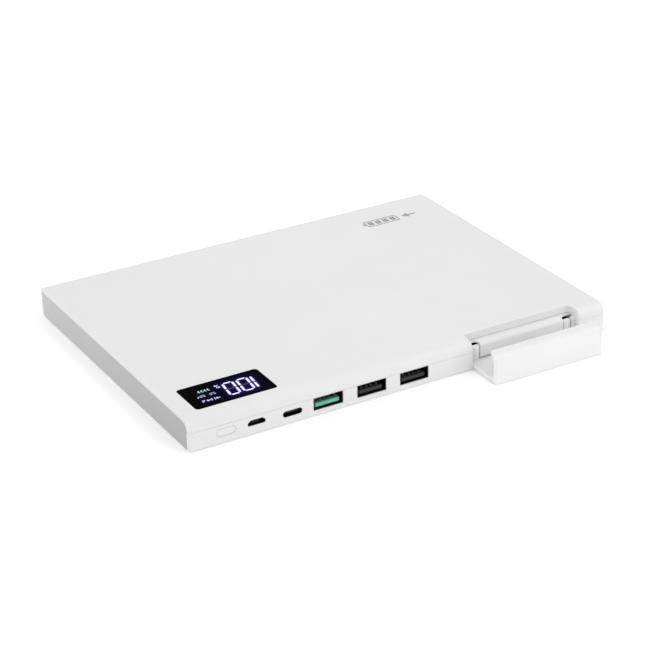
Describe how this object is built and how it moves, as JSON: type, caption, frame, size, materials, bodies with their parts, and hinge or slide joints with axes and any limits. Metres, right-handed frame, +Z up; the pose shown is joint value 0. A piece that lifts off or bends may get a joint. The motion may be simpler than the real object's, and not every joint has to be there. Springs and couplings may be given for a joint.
{
  "type": "power bank",
  "caption": "Flat rectangular power bank with sockets, a display window and a power button on its front edge, and a pull-out hook that hangs it on a laptop lid.",
  "frame": {"origin": "centre of the case's footprint on the plane of its underside", "axes": "+X along the long edge, +Y away from the edge with the sockets, +Z up out of the face with the display"},
  "size_m": [0.198, 0.163, 0.0135],
  "materials": {
    "case_plastic": "fine satin moulded plastic, white",
    "hook_plastic": "smooth satin moulded plastic, white",
    "button_plastic": "smooth satin moulded plastic, white",
    "window_plastic": "polished smoked acrylic",
    "display_plastic": "dark segment display block",
    "board": "green solder mask",
    "steel": "plated steel",
    "screw_steel": "zinc plated steel",
    "black_plastic": "black moulded plastic",
    "green_plastic": "green moulded plastic",
    "gold_contacts": "gold plated contacts",
    "nickel": "nickel strip",
    "cell_foil": "laminated foil pouch",
    "foam": "closed-cell foam",
    "tape": "double-sided tape",
    "ferrite": "moulded ferrite",
    "chip_epoxy": "epoxy package",
    "capacitor_sleeve": "sleeved can",
    "lead_insulation": "silicone insulation"
  },
  "bodies": {
    "case": {"top_cover": "case_plastic", "bottom_cover": "case_plastic", "end_panel_left": "case_plastic", "end_panel_right": "case_plastic", "display_window": "window_plastic", "display_module": "display_plastic", "main_board": "board", "board_screws": "screw_steel", "usb_a_shell_1": "steel", "usb_a_tongue_1": "green_plastic", "usb_a_contacts_1": "gold_contacts", "usb_a_shell_2": "steel", "usb_a_tongue_2": "black_plastic", "usb_a_contacts_2": "gold_contacts", "usb_a_shell_3": "steel", "usb_a_tongue_3": "black_plastic", "usb_a_contacts_3": "gold_contacts", "usb_c_shell": "steel", "usb_c_tongue": "black_plastic", "usb_c_contacts": "gold_contacts", "micro_usb_shell": "steel", "micro_usb_tongue": "black_plastic", "switch_body": "black_plastic", "slide_guide_left": "black_plastic", "slide_guide_right": "black_plastic", "battery_cell_left": "cell_foil", "battery_cell_middle": "cell_foil", "battery_cell_right": "cell_foil", "cell_tabs": "nickel", "foam_pads": "foam", "cell_tapes": "tape", "protection_board": "board", "protection_transistors": "chip_epoxy", "battery_leads": "lead_insulation", "temperature_sensor": "chip_epoxy", "power_inductors": "ferrite", "control_chip": "chip_epoxy", "power_transistors": "chip_epoxy", "board_capacitors": "capacitor_sleeve"},
    "hook_body": {"hook": "hook_plastic", "slider_bar": "steel", "slider_screws": "screw_steel"},
    "button_body": {"power_button": "button_plastic"},
    "plunger_body": {"switch_plunger": "black_plastic"}
  },
  "joints": [
    {"name": "hook_slide", "type": "slide", "parent": "case", "child": "hook_body", "axis": [0, 1, 0], "range_m": [0, 0.017]},
    {"name": "button_press", "type": "slide", "parent": "case", "child": "button_body", "axis": [0, 1, 0], "range_m": [0, 0.0004]},
    {"name": "switch_press", "type": "slide", "parent": "case", "child": "plunger_body", "axis": [0, 1, 0], "range_m": [0, 0.0004]}
  ],
  "couplings": [
    {"joint": "switch_press", "follows": "button_press", "ratio": 1}
  ]
}
